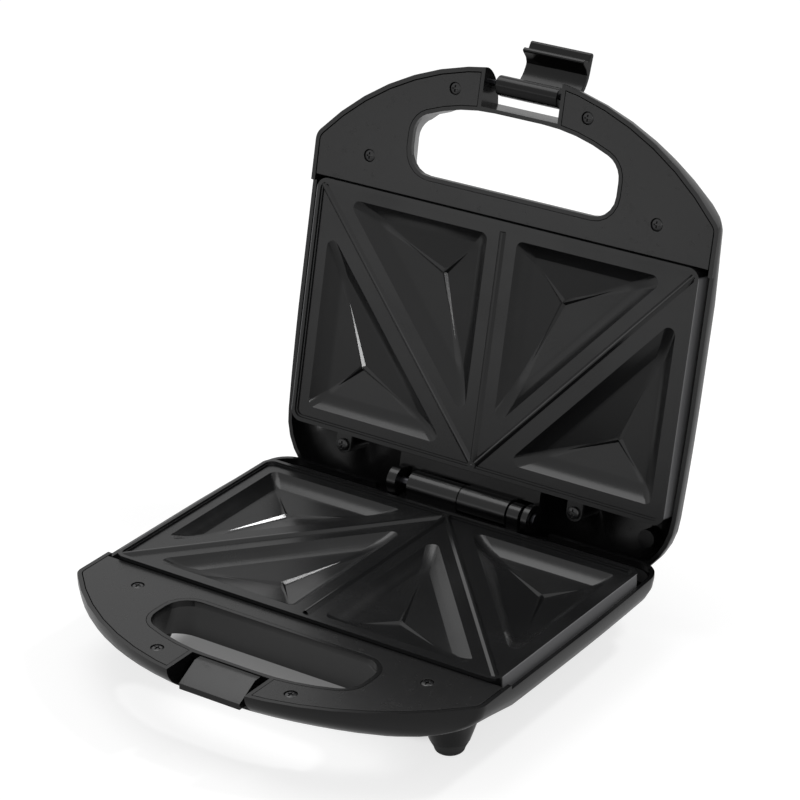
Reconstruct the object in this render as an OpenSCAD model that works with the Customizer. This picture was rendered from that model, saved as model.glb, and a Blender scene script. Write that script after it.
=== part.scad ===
// Two-slice sandwich toaster, standing open on its four feet.
//
// Millimetres, +Z up, -Y the handle side, +Y the hinge side, +X to the right.
// The origin is on the table under the middle of the open toaster.
//
// Base and lid are drawn alike in a half frame: its origin is the middle of the
// cooking plate's rim plane and +Z points out of the cooking side. base_half() and
// lid_half() put what is drawn there in its place on the open toaster.

/* [Cooking plates] */
// Width of each cooking plate
plate_width = 220; // [200:1:240]
// Depth of each cooking plate, front to back
plate_depth = 127; // [118:1:140]
// Gap between the two plate rims with the lid shut
plate_gap = 1.2; // [0.8:0.1:2.4]
// Radius of the plate corners
plate_corner = 6; // [4:0.5:10]
// Drop from the plate rim to the land between the pockets
land_drop = 1.6; // [1.2:0.1:2.2]
// Drop from the plate rim to the deepest point of a pocket
pocket_drop = 9.4; // [8:0.2:10.4]
// Rounding of the pocket corners
pocket_corner = 3.6; // [2.6:0.1:6]
// Width of the ribs that part the pockets
rib_width = 2.6; // [2:0.1:3.6]

/* [Housings] */
// Depth of each housing, from the plate rim plane to its flat outer face
housing_depth = 35; // [33:0.5:40]
// Wall thickness of the housings
wall = 2.2; // [1.8:0.1:2.8]
// Reach of the handles in front of the cooking plates
handle_reach = 73.5; // [70:0.5:80]
// Depth of a handle at its front edge, from the plate rim plane
handle_depth = 13.5; // [12.5:0.1:15]
// Radius of the curved front edge of the handles
handle_arc = 153; // [146:0.5:180]
// Drop from the plate rim plane to the housing rim beside the plates
rim_drop = 4; // [3:0.5:5]
// How far the housings bulge out beside the plates
belly = 5.6; // [5.4:0.2:8]
// Radius of the lid's rear corners
lid_corner = 36; // [28:1:40]
// Radius of the base's rear corners
base_corner = 14; // [10:1:18]

/* [Handle panels] */
// Thickness of the handle panels
panel_thickness = 2.6; // [2:0.1:3]
// Width of the finger hole
hole_width = 118; // [106:1:124]
// Width of the notch for the latch
notch_width = 43.6; // [42:0.2:50]

/* [Hinge and latch] */
// Angle the lid has turned from shut
open_angle = 102.5; // [95:0.5:102.5]
// Diameter of the hinge pin
hinge_pin_d = 5; // [4:0.1:6]
// Radius of the hinge knuckles
knuckle_r = 7.2; // [6.6:0.1:7.4]
// Diameter of the latch pin
latch_pin_d = 3; // [2.4:0.1:3.4]
// Width of the latch clip
latch_width = 35; // [32:0.5:40]
// Angle the latch clip has turned from hooked
latch_angle = 132; // [100:1:136]

/* [Feet] */
// Height of a foot below its seat
foot_height = 7; // [5:0.5:12]
// Diameter of a foot where it meets the base
foot_d = 19.4; // [16:0.2:22]

/* [Hidden] */
$fn = 64;

// Clearances.
snug = 0.02;
running = 0.06;
easy = 0.3;

// Cooking plate.
hw = plate_width / 2;
hd = plate_depth / 2;
skirt_drop = 11.5;
skirt_wall = 3;
plate_skin = 3.6;
pan_drop = pocket_drop + 3.2;
floor_share = 0.66;
floor_rise = 2.4;
rib_rear = [0, hd - 2.5];
rib_corner = [hw - 3, -hd + 3.5];
tongue_x = 45;
post_at = [58, 20];

// Housing outline and depth.
top_drop = 2;
front_y = -hd - handle_reach;
arc_y = front_y + handle_arc;
handle_half = hw + 5.5;
belly_y = -4;
tail = 1.4;
step_y = -hd + 3;
keel_front = -hd - 14.5;
keel_rear = -hd + 18.5;
handle_slope = tan(12);
front_roll = 15;
side_roll = 56;
panel_gap = 0.5;
floor_in = housing_depth - wall;

// Hinge: the axis lies half-way between the two rim planes.
hinge_y = hd + 14.8;
hinge_z = plate_gap / 2;
lid_rear = hinge_y + 17.7;
base_rear = hinge_y + 0.5;
deck_front = hd + 1.1;
deck_drop = 4;
cover_drop = rim_drop + 3;
deck_half = 35.5;
small_knuckle_r = knuckle_r - 1;
base_knuckle = [-31, -1.4];
small_knuckle = [27.4, 34];
lid_knuckle = [-1, 27];
left_ear = [-43, -38];
right_ear = [36.4, 39.6];
knuckle_gap = 0.5;

// Finger hole and notch.
tube_wall = 2;
hole_rear = -hd - 12.5;
hole_front = front_y + 23;
hole_corner = 12;
hole_arc = 99;
hole_flat = 13.4;
flare_top = -top_drop - panel_thickness - 0.6;
flare = 0.5;
notch_half = notch_width / 2;

// Latch.
latch_y = front_y + 9.5;
latch_z = -9.5;
catch_half = 17;
catch_front = front_y + 4.5;
catch_drop = 12;
ledge_z = 1 - handle_depth;
clip_hub = 4.3;
clip_sheet = 2.8;
clip_bend = 19;
clip_bend_at = [3, 13.5];
lip_length = 8.5;
hook_z = plate_gap + catch_drop + easy - latch_z;

// Fastener places, [x, y] in the half frame.
panel_screws_at = [[hw - 27.5, -hd - 15.7], [-hw + 27.5, -hd - 15.7], [37.7, front_y + 15.3], [-37.7, front_y + 15.3]];
base_lugs_at = [[67, base_rear - 7.5], [-67, base_rear - 7.5]];
lid_lugs_at = [[56, hd + 8.5], [-82, hd + 8.5]];
rests_at = [for (x = [-1, 1], y = [-40, 40]) [x * (hw - skirt_wall / 2), y]];
posts_at = [for (x = [-1, 1], y = [-1, 1]) [x * post_at.x, y * post_at.y]];
feet_at = [for (x = [-1, 1]) each [[x * (hw - 24), -hd - 2.5], [x * (hw - 34), hd + 1]]];

// Feet and standing height.
foot_seat = housing_depth + 0.5;
leg_top = foot_seat - 11.5;
leg_slope = 0.34;
lip_height = foot_seat + foot_height;

// Inner works.
cord_at = [-40, -26];
element_r = 3.2;
element_z = -pan_drop - element_r;
element_half = [80, 40];
shield_z = element_z - element_r - 0.6;
shield_t = 0.8;
shield_half = [94, 54];

// Lamps behind the lid's flat face.
lamps_x = [-8, 8];
lamp_y = -30;
holder_top = -floor_in + 3;
holder_post_x = 16;

// Place of the origin: half-way between the handle's front edge and the tip of the latch clip's lip.
lip_way = [cos(55), sin(55)];
lip_from = clip_bend_at + (clip_bend - clip_sheet / 2) * [-lip_way.y, lip_way.x];
lip_tip = lip_from + lip_length * lip_way;
clip_tip = [latch_y, latch_z] + [
  lip_tip.x * cos(latch_angle) - lip_tip.y * sin(latch_angle),
  lip_tip.x * sin(latch_angle) + lip_tip.y * cos(latch_angle)
];
rear_reach = lid_point(clip_tip).x + clip_sheet / 2;
front_reach = arc_y - sqrt(handle_arc^2 - notch_half^2);
origin_y = (front_reach + rear_reach) / 2;

// ---- Frames ----

// A point [y, z] of the lid's half frame, as [y, z] of the base's half frame.
function lid_point(p) =
  let (y = p.x - hinge_y, z = plate_gap - p.y - hinge_z)
  [hinge_y + y * cos(open_angle) + z * sin(open_angle), hinge_z - y * sin(open_angle) + z * cos(open_angle)];

module base_half() {
  translate([0, -origin_y, lip_height])
    children();
}

module lid_half() {
  base_half()
    translate([0, hinge_y, hinge_z])
      rotate([-open_angle, 0, 0])
        translate([0, -hinge_y, plate_gap - hinge_z])
          mirror([0, 0, 1])
            children();
}

// A profile drawn in [y, z], run along X.
module along_x(from, to) {
  translate([from, 0, 0])
    rotate([90, 0, 90])
      linear_extrude(to - from)
        children();
}

// A rod along X about the point [y, z].
module rod_x(span, at, r) {
  translate([span[0], at[0], at[1]])
    rotate([0, 90, 0])
      cylinder(r = r, h = span[1] - span[0]);
}

// A rod along Y about the point [x, z].
module rod_y(at, r, from, to) {
  translate([at[0], from, at[1]])
    rotate([-90, 0, 0])
      cylinder(r = r, h = to - from);
}

// An upright rod between two heights.
module rod_z(at, r, from, to) {
  translate([at.x, at.y, from])
    cylinder(r = r, h = to - from);
}

// A block given by its low and high corners.
module block(low, high) {
  translate(low)
    cube(high - low);
}

module rounded_rect(half, r) {
  offset(r = r)
    square([2 * (half.x - r), 2 * (half.y - r)], center = true);
}

// ---- Housing skin ----

// Depth of the outer face under the point y, on the middle of the housing.
function keel(y) =
  let (
    d1 = handle_depth + handle_slope * (keel_front - front_y),
    span = keel_rear - keel_front,
    t = (y - keel_front) / span
  )
  y >= keel_rear ? housing_depth
  : y <= keel_front ? handle_depth + handle_slope * (y - front_y)
  : (2 * t^3 - 3 * t^2 + 1) * d1 + (t^3 - 2 * t^2 + t) * span * handle_slope + (3 * t^2 - 2 * t^3) * housing_depth;

// Half width of the housing at y: straight beside the handle, bulging beside the plate.
function side_x(y) =
  let (
    front = (belly_y - step_y)^2 / (2 * (belly + hw - handle_half)),
    rear = (hd - belly_y)^2 / (2 * tail)
  )
  y < step_y ? handle_half
  : hw + belly - (y - belly_y)^2 / (2 * (y < belly_y ? front : rear));

// Right half of a housing outline, front centre to rear, inset by [side, front, rear].
function half_outline(inset, r_front, r_rear, rear_y) =
  let (
    arc = handle_arc - inset[1],
    cx = handle_half - inset[0] - r_front,
    cy = arc_y - sqrt((arc - r_front)^2 - cx^2),
    a1 = asin(cx / (arc - r_front)),
    ry = rear_y - inset[2] - r_rear,
    rx = side_x(ry) - inset[0] - r_rear
  )
  concat(
    [for (i = [0:8]) let (a = a1 * i / 8) [arc * sin(a), arc_y - arc * cos(a)]],
    [for (i = [1:4]) let (a = a1 + (90 - a1) * i / 4) [cx + r_front * sin(a), cy - r_front * cos(a)]],
    [for (i = [1:8]) let (y = cy + (ry - cy) * i / 8) [side_x(y) - inset[0], y]],
    [for (i = [1:8]) let (a = 90 * i / 8) [rx + r_rear * cos(a), ry + r_rear * sin(a)]]
  );

function both_sides(half) =
  concat(half, [for (i = [len(half) - 1:-1:1]) [-half[i].x, half[i].y]]);

// Outline of a housing inset by t at the roll angle a, from 0 at the side to 90 on the flat.
function housing_outline(a, t, rear_y, r_rear, rear_roll) =
  let (roll = 1 - cos(a))
  both_sides(half_outline(
    [side_roll * roll + t, front_roll * roll + t, rear_roll * roll + t],
    8 + 0.4 * side_roll * roll - t,
    r_rear * (1 - 0.4 * roll) - t,
    rear_y
  ));

// The same outline at its height on the skin that lies t inside the outer face.
function housing_ring(a, t, rear_y, r_rear, rear_roll) =
  [for (p = housing_outline(a, t, rear_y, r_rear, rear_roll))
    let (shoulder = keel(p.y) / 6)
    [p.x, p.y, -shoulder - (keel(p.y) - t - shoulder) * sin(a)]];

// Solid between rings that run round alike and mirror left to right.
module loft(rings) {
  n = len(rings[0]);
  last = len(rings) - 1;
  half = (n - 1) / 2;
  walls = [for (k = [0:last - 1], i = [0:n - 1]) let (j = (i + 1) % n)
    each [[k * n + i, k * n + j, k * n + n + j], [k * n + i, k * n + n + j, k * n + n + i]]];
  lid = [for (i = [1:half - 1]) [i, n - i, n - i - 1, i + 1]];
  keel = [for (f = lid) [for (v = [3:-1:0]) last * n + f[v]]];
  ends = [[0, n - 1, 1], [last * n, last * n + 1, last * n + n - 1]];
  polyhedron([for (ring = rings) each ring], concat(walls, lid, keel, ends), convexity = 8);
}

module housing_solid(rear_y, r_rear, rear_roll, t = 0, top = -top_drop) {
  rim = [for (p = housing_outline(0, t, rear_y, r_rear, rear_roll)) [p.x, p.y, top]];
  rolled = [for (k = [0:9]) housing_ring(10 * k, t, rear_y, r_rear, rear_roll)];
  loft(concat([rim], rolled));
}

// ---- Handle cut-outs, drawn in plan ----

// Right half of the finger hole's outline, grown by g all round and by f more at its side and rear.
function hole_half(g, f) =
  let (
    r = hole_corner + g,
    cx = hole_width / 2 + f - hole_corner,
    cy = hole_front + hole_arc - sqrt((hole_arc - hole_corner)^2 - (cx - hole_flat)^2),
    a1 = asin((cx - hole_flat) / (hole_arc - hole_corner)),
    ry = hole_rear + f - hole_corner
  )
  concat(
    [[0, hole_front - g]],
    [for (i = [0:4]) let (a = a1 * i / 4)
      [hole_flat + (hole_arc + g) * sin(a), hole_front + hole_arc - (hole_arc + g) * cos(a)]],
    [for (i = [1:5]) let (a = a1 + (90 - a1) * i / 5) [cx + r * sin(a), cy - r * cos(a)]],
    [for (i = [0:5]) let (a = 90 + 18 * i) [cx + r * sin(a), ry - r * cos(a)]]
  );

function hole_outline(g, f = 0) = both_sides(hole_half(g, f));

// Hole through the handle, flared towards the outer face below the panel.
module flared_hole(grow = 0) {
  loft([for (z = [20, flare_top, -60])
    [for (p = hole_outline(grow, max(0, flare * (flare_top - z)))) [p.x, p.y, z]]]);
}

module notch(grow = 0) {
  translate([-notch_half - grow, front_y - 20])
    square([notch_width + 2 * grow, hole_front - front_y + 30]);
}

module hole_and_notch(grow = 0) {
  polygon(hole_outline(grow));
  notch(grow);
}

// ---- Housing parts that both halves share ----

// Plug from which the finger hole and the notch leave their walls.
module finger_tube() {
  flared_hole(tube_wall);
  translate([0, 0, -60])
    linear_extrude(60 - top_drop)
      notch(tube_wall);
}

module panel_bosses() {
  for (at = panel_screws_at)
    rod_z(at, 4.2, -60, -top_drop - panel_thickness);
}

// Rests for the plate's skirt, and shelves for its front tongues.
module plate_rests() {
  for (at = rests_at)
    block([at.x - skirt_wall / 2, at.y - 5, -60], [at.x + skirt_wall / 2, at.y + 5, -skirt_drop]);
  for (s = [-1, 1])
    block([s * tongue_x - 9, hole_rear + 0.5, -60], [s * tongue_x + 9, -hd - 1.5, -8]);
}

module screw_holes(places, top, r, depth) {
  for (at = places)
    rod_z(at, r, top - depth, top + 1);
}

// Room beside the plate down to the housing rim.
module plate_opening() {
  block([-hw - 40, step_y, -rim_drop], [hw + 40, lid_rear + 40, 20]);
}

// ---- Base housing ----

module base_solid(t = 0, top = -top_drop) {
  housing_solid(base_rear, base_corner, 30, t, top);
}

module hinge_axis_rod(span, r) {
  rod_x(span, [hinge_y, hinge_z], r);
}

// Deck behind the plate that carries the base knuckles.
module base_hinge_deck() {
  block([-deck_half, deck_front, -deck_drop - 6], [deck_half, base_rear - 0.5, -deck_drop]);
}

// Ribs from the housing floor up to the hinge deck.
module base_deck_ribs() {
  for (x = [-34, -16, 16, 34])
    block([x - 1, deck_front, -60], [x + 1, base_rear - 0.5, -deck_drop - 5]);
}

module base_knuckles() {
  hinge_axis_rod(base_knuckle, knuckle_r);
  block([base_knuckle[0], hinge_y - knuckle_r + 0.6, -deck_drop - 2], [base_knuckle[1], hinge_y + 2, 0]);
  hinge_axis_rod(small_knuckle, small_knuckle_r);
  block([small_knuckle[0], hinge_y - small_knuckle_r, -deck_drop - 2], [small_knuckle[1], hinge_y + 2, 0]);
}

// Block in the notch whose nose the latch clip hooks under.
module latch_catch() {
  along_x(-catch_half, catch_half)
    polygon([
      [hole_front - 1, -top_drop - 0.5], [hole_front - 6.5, -top_drop - 0.5], [catch_front, -9],
      [catch_front, -catch_drop], [catch_front + 5, -catch_drop], [catch_front + 6, -14], [hole_front - 1, -14]
    ]);
}

module base_fittings() {
  finger_tube();
  panel_bosses();
  plate_rests();
  base_deck_ribs();
  for (at = base_lugs_at)
    rod_z(at, 4.5, -60, -skirt_drop);
  for (at = feet_at)
    rod_z(at, 6.5, -60, -floor_in + 6);
}

// Conical legs of the housing, each ending in a flat seat for its rubber foot.
module legs() {
  for (at = feet_at)
    translate([at.x, at.y, -foot_seat])
      rotate_extrude()
        polygon([[0, 0], [foot_d / 2, 0], [foot_d / 2 + leg_slope * (foot_seat - leg_top), foot_seat - leg_top],
          [0, foot_seat - leg_top]]);
}

// Space in the base's notch, above the ledge and right through in front of it.
module base_notch_space() {
  block([-notch_half, front_y - 10, ledge_z], [notch_half, hole_front - tube_wall, 10]);
  block([-notch_half, front_y - 10, -40], [notch_half, catch_front + 5, 10]);
}

module base_housing() {
  color("#161616")
    base_half()
      difference() {
        union() {
          difference() {
            union() {
              difference() {
                union() {
                  base_solid();
                  legs();
                  rod_y(cord_at, 9, base_rear - 24, base_rear - 6.5);
                }
                base_solid(wall, 20);
              }
              intersection() {
                base_solid();
                base_fittings();
              }
            }
            plate_opening();
            flared_hole();
            base_notch_space();
          }
          latch_catch();
          base_hinge_deck();
          base_knuckles();
        }
        hinge_axis_rod([-60, 60], hinge_pin_d / 2 + snug);
        hinge_axis_rod(lid_knuckle + [-knuckle_gap, knuckle_gap], knuckle_r + knuckle_gap);
        hinge_axis_rod([right_ear[0] - knuckle_gap, right_ear[1] + 10], knuckle_r + knuckle_gap);
        hinge_axis_rod([left_ear[0] - 10, left_ear[1] + knuckle_gap], knuckle_r + knuckle_gap);
        screw_holes(panel_screws_at, -top_drop - panel_thickness, 1.5 + snug, 8);
        screw_holes(base_lugs_at, -skirt_drop, 1.5 + snug, 8);
        for (at = feet_at)
          rod_z(at, 3.5 + snug, -foot_seat - 1, -foot_seat + 8);
        rod_y(cord_at, 5, base_rear - 30, base_rear);
        rod_y(cord_at, 7.2, base_rear - 8, base_rear + 5);
      }
}

// ---- Lid housing ----

module lid_solid(t = 0, top = -top_drop) {
  housing_solid(lid_rear, lid_corner, 50, t, top);
}

// Bar and wall behind the plate that carry the lid's knuckle and ears.
module lid_hinge_wall() {
  block([left_ear[0], deck_front, -60], [right_ear[1], deck_front + 3.4, -3]);
}

module lid_hinge_bar() {
  block([left_ear[0], deck_front, -7], [right_ear[1], deck_front + 6.4, -3]);
}

module lid_knuckles() {
  for (span = [lid_knuckle, left_ear, right_ear]) {
    hinge_axis_rod(span, knuckle_r);
    block([span[0], deck_front + 2, -7.5], [span[1], hinge_y + 2, -3]);
  }
}

module lid_fittings() {
  finger_tube();
  panel_bosses();
  plate_rests();
  lid_hinge_wall();
  for (at = lid_lugs_at)
    rod_z(at, 4.5, -60, -skirt_drop);
  rod_z([hw - 14, hd + 11.5], 4.5, -60, -skirt_drop);
  for (x = [-holder_post_x, holder_post_x])
    rod_z([x, lamp_y], 2.8, -60, holder_top);
}

// Room in the lid's notch for the latch clip to swing through.
module lid_notch_space() {
  block([-notch_half, front_y - 10, -40], [notch_half, hole_front - tube_wall, 10]);
}

module lid_housing() {
  color("#181818")
    lid_half()
      difference() {
        union() {
          difference() {
            union() {
              difference() {
                lid_solid();
                lid_solid(wall, 20);
              }
              intersection() {
                lid_solid();
                lid_fittings();
              }
            }
            plate_opening();
            flared_hole();
            lid_notch_space();
          }
          lid_hinge_bar();
          lid_knuckles();
        }
        hinge_axis_rod([-60, 60], hinge_pin_d / 2 + running);
        hinge_axis_rod(base_knuckle + [-knuckle_gap, knuckle_gap], knuckle_r + knuckle_gap);
        hinge_axis_rod([small_knuckle[0] - knuckle_gap, small_knuckle[1] + knuckle_gap], knuckle_r);
        rod_x([-notch_half - 5, notch_half + 5], [latch_y, latch_z], latch_pin_d / 2 + snug);
        screw_holes(panel_screws_at, -top_drop - panel_thickness, 1.5 + snug, 8);
        screw_holes(lid_lugs_at, -skirt_drop, 1.5 + snug, 8);
        screw_holes([for (x = [-1, 1]) [x * holder_post_x, lamp_y]], holder_top, 1.2 + snug, 6);
        for (x = lamps_x)
          rod_z([x, lamp_y], 4 + snug, -60, -floor_in + 1);
      }
}

// ---- Handle panels and rear cover ----

module panel_outline(rear_y, r_rear) {
  intersection() {
    polygon(housing_outline(0, wall + panel_gap, rear_y, r_rear, 0));
    translate([-hw - 40, front_y - 20])
      square([2 * hw + 80, handle_reach + 19.5]);
  }
}

module handle_panel(rear_y, r_rear) {
  difference() {
    translate([0, 0, -top_drop - panel_thickness])
      linear_extrude(panel_thickness)
        difference() {
          panel_outline(rear_y, r_rear);
          hole_and_notch(tube_wall + panel_gap / 2);
        }
    for (at = panel_screws_at) {
      rod_z(at, 3.2, -top_drop - 1.5, 0);
      rod_z(at, 1.7, -10, 0);
    }
  }
}

module base_handle_panel() {
  color("#2b2b2b")
    base_half()
      handle_panel(base_rear, base_corner);
}

module lid_handle_panel() {
  color("#2b2b2b")
    lid_half()
      handle_panel(lid_rear, lid_corner);
}

module base_rear_cover() {
  color("#1b1b1b")
    base_half()
      difference() {
        translate([0, 0, -cover_drop - 2])
          linear_extrude(2)
            difference() {
              intersection() {
                polygon(housing_outline(8, wall + easy, base_rear, base_corner, 30));
                translate([-hw - 40, deck_front])
                  square([2 * hw + 80, 40]);
              }
              square([2 * deck_half + 2 * easy, 4 * hinge_y], center = true);
            }
        for (at = base_lugs_at)
          rod_z(at, 1.7, -20, 0);
      }
}

// ---- Cooking plate ----

// Line n.x = c through a point p along the direction d, moved by m towards its left.
function line(p, d, m = 0) = let (n = [-d.y, d.x] / norm(d)) [n, n * p + m];

function meet(a, b) =
  let (det = a[0].x * b[0].y - a[0].y * b[0].x)
  [a[1] * b[0].y - a[0].y * b[1], a[0].x * b[1] - a[1] * b[0].x] / det;

rib_way = rib_corner - rib_rear;

// Sharp corners of the pockets right of the middle rib, counter-clockwise.
outer_field =
  let (
    a = line(rib_rear, rib_way, 9.8),
    b = line([hw - 9, 0], [0, 1], 0),
    c = line([0, hd - 8.5], [-1, 0], 0)
  )
  [meet(c, a), meet(a, b), meet(b, c)];
inner_field =
  let (
    a = line(rib_rear, -rib_way, 8),
    b = line([8.5, 0], [0, -1], 0),
    c = line([0, -hd + 8], [1, 0], 0)
  )
  [meet(b, c), meet(c, a), meet(a, b)];

function incentre(v) =
  let (a = norm(v[1] - v[2]), b = norm(v[2] - v[0]), c = norm(v[0] - v[1]))
  (a * v[0] + b * v[1] + c * v[2]) / (a + b + c);

function inradius(v) =
  let (a = norm(v[1] - v[2]), b = norm(v[2] - v[0]), c = norm(v[0] - v[1]))
  abs((v[1].x - v[0].x) * (v[2].y - v[0].y) - (v[2].x - v[0].x) * (v[1].y - v[0].y)) / (a + b + c);

// Triangle v with its corners rounded to radius r, as points.
function rounded_triangle(v, r, steps = 7) =
  let (mid = incentre(v), k = 1 - r / inradius(v))
  [for (i = [0:2])
    let (
      into = v[i] - v[(i + 2) % 3],
      out = v[(i + 1) % 3] - v[i],
      from = atan2(-into.x, into.y),
      turn = (atan2(-out.x, out.y) - from + 720) % 360
    )
    for (s = [0:steps]) mid + k * (v[i] - mid) + r * [cos(from + turn * s / steps), sin(from + turn * s / steps)]];

// Height of a pocket's surface at the share s of the way out from its middle: a floor that
// rises evenly from the middle, then a wall that steepens up to the land.
function pocket_z(s) =
  let (
    rise = floor_rise * s / floor_share,
    up = max(0, s - floor_share) / (1 - floor_share),
    left = pocket_drop - land_drop - floor_rise / floor_share
  )
  -pocket_drop + rise + left * up^2;

module pocket(v) {
  mid = incentre(v);
  rim = rounded_triangle(v, pocket_corner);
  shares = concat([for (i = [0:5]) 1 - (1 - floor_share) * i / 5], [floor_share / 2]);
  rings = [for (s = shares) [for (p = rim) [mid.x + s * (p.x - mid.x), mid.y + s * (p.y - mid.y), pocket_z(s)]]];
  brim = [for (p = rim) [p.x, p.y, 1]];
  n = len(rim);
  last = len(rings);
  walls = [for (k = [0:last - 1], i = [0:n - 1]) let (j = (i + 1) % n)
    each [[k * n + i, k * n + n + j, k * n + j], [k * n + i, k * n + n + i, k * n + n + j]]];
  top = [for (i = [0:n - 1]) i];
  tip = (last + 1) * n;
  floor = [for (i = [0:n - 1]) [last * n + i, tip, last * n + (i + 1) % n]];
  difference() {
    polyhedron(
      concat(brim, [for (r = rings) each r], [[mid.x, mid.y, pocket_z(0)]]),
      [for (f = concat(walls, [[for (i = [n - 1:-1:0]) top[i]]], floor)) [for (v = [len(f) - 1:-1:0]) f[v]]],
      convexity = 4
    );
    for (i = [0:2])
      crease(mid, v[i]);
  }
}

// Raised crease from the middle of a pocket's floor towards one corner.
module crease(mid, corner) {
  way = (corner - mid) / norm(corner - mid);
  side = 1.2 * [-way.y, way.x];
  start = mid - 0.8 * way;
  end = mid + 0.42 * (corner - mid);
  low = -pocket_drop - 1;
  polyhedron(
    [[start.x, start.y, pocket_z(0) + 1.3], [end.x, end.y, pocket_z(0.42) - 0.1],
     [start.x + side.x, start.y + side.y, low], [start.x - side.x, start.y - side.y, low]],
    [[0, 1, 2], [0, 3, 1], [0, 2, 3], [1, 3, 2]]
  );
}

// Ridge between two points in plan that stands on the land.
module rib(from, to) {
  way = to - from;
  translate([from.x, from.y, -land_drop - 1])
    rotate([90, 0, atan2(way.y, way.x) + 90])
      linear_extrude(norm(way))
        polygon([[-rib_width / 2, 0], [rib_width / 2, 0], [0.5, land_drop + 0.7], [-0.5, land_drop + 0.7]]);
}

module plate_fields() {
  for (s = [0, 1])
    mirror([s, 0, 0])
      for (v = [outer_field, inner_field])
        polygon(rounded_triangle(v, pocket_corner));
}

module cooking_plate(lugs) {
  difference() {
    union() {
      difference() {
        translate([0, 0, -skirt_drop])
          linear_extrude(skirt_drop)
            rounded_rect([hw, hd], plate_corner);
        translate([0, 0, -land_drop])
          linear_extrude(20)
            rounded_rect([hw - 3, hd - 3], plate_corner - 3);
        translate([0, 0, -land_drop / 2])
          linear_extrude(20)
            rounded_rect([hw - 2, hd - 2], plate_corner - 2);
        translate([0, 0, -skirt_drop - 1])
          linear_extrude(skirt_drop + 1 - land_drop - plate_skin)
            rounded_rect([hw - skirt_wall, hd - skirt_wall], plate_corner - 3);
      }
      translate([0, 0, -pan_drop])
        linear_extrude(pan_drop - land_drop - 1)
          intersection() {
            offset(delta = 3.2)
              plate_fields();
            rounded_rect([hw - 1, hd - 1], plate_corner);
          }
      for (at = posts_at)
        rod_z(at, 4, shield_z, -pan_drop + 1);
      for (at = lugs)
        plate_lug(at);
      for (s = [-1, 1])
        block([s * tongue_x - 7, -hd - 5, -8], [s * tongue_x + 7, -hd + 1, -6]);
      rib(rib_rear, [0, -hd + 5.5]);
      rib(rib_rear, rib_corner);
      rib(rib_rear, [-rib_corner.x, rib_corner.y]);
      rod_z([0, hd - 3], 2.2, -land_drop - 1, -0.1);
    }
    for (s = [0, 1])
      mirror([s, 0, 0]) {
        pocket(outer_field);
        pocket(inner_field);
      }
    for (at = posts_at)
      rod_z(at, 1.5 + snug, shield_z - 1, shield_z + 5);
    for (at = lugs)
      rod_z(at, 1.9, -20, 0);
  }
}

// Tab on the plate's rear skirt for one screw.
module plate_lug(at) {
  block([at.x - 4.4, hd - 1, -skirt_drop], [at.x + 4.4, at.y, -skirt_drop + 2]);
  rod_z(at, 4.4, -skirt_drop, -skirt_drop + 2);
}

module base_cooking_plate() {
  color("#303132")
    base_half()
      cooking_plate(base_lugs_at);
}

module lid_cooking_plate() {
  color("#303132")
    lid_half()
      cooking_plate(lid_lugs_at);
}

// ---- Heating parts ----

// Rod of radius r bent in plan through the points of a path.
module bent_rod(path, r, bend) {
  n = len(path);
  ways = [for (i = [0:n - 2]) (path[i + 1] - path[i]) / norm(path[i + 1] - path[i])];
  turns = [for (i = [0:n - 3]) let (t = atan2(ways[i + 1].y, ways[i + 1].x) - atan2(ways[i].y, ways[i].x))
    t > 180 ? t - 360 : t < -180 ? t + 360 : t];
  trims = concat([0], [for (t = turns) bend * tan(abs(t) / 2)], [0]);
  for (i = [0:n - 2]) {
    start = path[i] + ways[i] * trims[i];
    translate([start.x, start.y, 0])
      rotate([0, 90, atan2(ways[i].y, ways[i].x)])
        cylinder(r = r, h = norm(path[i + 1] - path[i]) - trims[i] - trims[i + 1]);
  }
  for (i = [0:n - 3]) {
    side = sign(turns[i]);
    hub = path[i + 1] - ways[i] * trims[i + 1] + side * bend * [-ways[i].y, ways[i].x];
    translate([hub.x, hub.y, 0])
      rotate(atan2(ways[i].y, ways[i].x) - 90 * side)
        rotate_extrude(angle = turns[i])
          translate([bend, 0])
            circle(r = r);
  }
}

// Sheathed loop under the pockets with both cold ends turned in at the rear.
module heating_element() {
  e = element_half;
  translate([0, 0, element_z]) {
    bent_rod([[10, 8], [10, e.y], [e.x, e.y], [e.x, -e.y], [-e.x, -e.y], [-e.x, e.y], [-10, e.y], [-10, 8]], element_r, 14);
    for (x = [-10, 10])
      translate([x, 8, 0])
        rotate([90, 0, 0])
          cylinder(r = 1.2, h = 7);
  }
}

// Straps that hold the element loop up against the plate.
module element_clamps() {
  for (at = [[0, -element_half.y, 90], [element_half.x, 0, 0], [-element_half.x, 0, 0]])
    translate([at[0], at[1], -pan_drop])
      rotate([90, 0, at[2]])
        translate([0, 0, -4])
          linear_extrude(8)
            strap();
}

module strap() {
  difference() {
    union() {
      translate([0, -element_r])
        circle(r = element_r + 0.55);
      translate([-element_r - 0.55, -element_r])
        square([2 * element_r + 1.1, element_r]);
      translate([-element_r - 5, -0.8])
        square([2 * element_r + 10, 0.8]);
    }
    translate([0, -element_r])
      circle(r = element_r + 0.05);
    translate([-element_r - 0.05, -element_r])
      square([2 * element_r + 0.1, element_r + 1]);
  }
}

// Folded tray that keeps the heat off the housing.
module heat_shield() {
  difference() {
    union() {
      translate([0, 0, shield_z - shield_t])
        linear_extrude(shield_t)
          rounded_rect(shield_half, 12);
      translate([0, 0, shield_z - shield_t])
        linear_extrude(6)
          difference() {
            rounded_rect(shield_half, 12);
            rounded_rect(shield_half - [shield_t, shield_t], 12 - shield_t);
          }
    }
    for (at = posts_at)
      rod_z(at, 1.7, -40, 0);
    rod_z([0, -18], 9, -40, 0);
    block([-16, -2, -40], [16, 6, -10]);
  }
}

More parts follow.
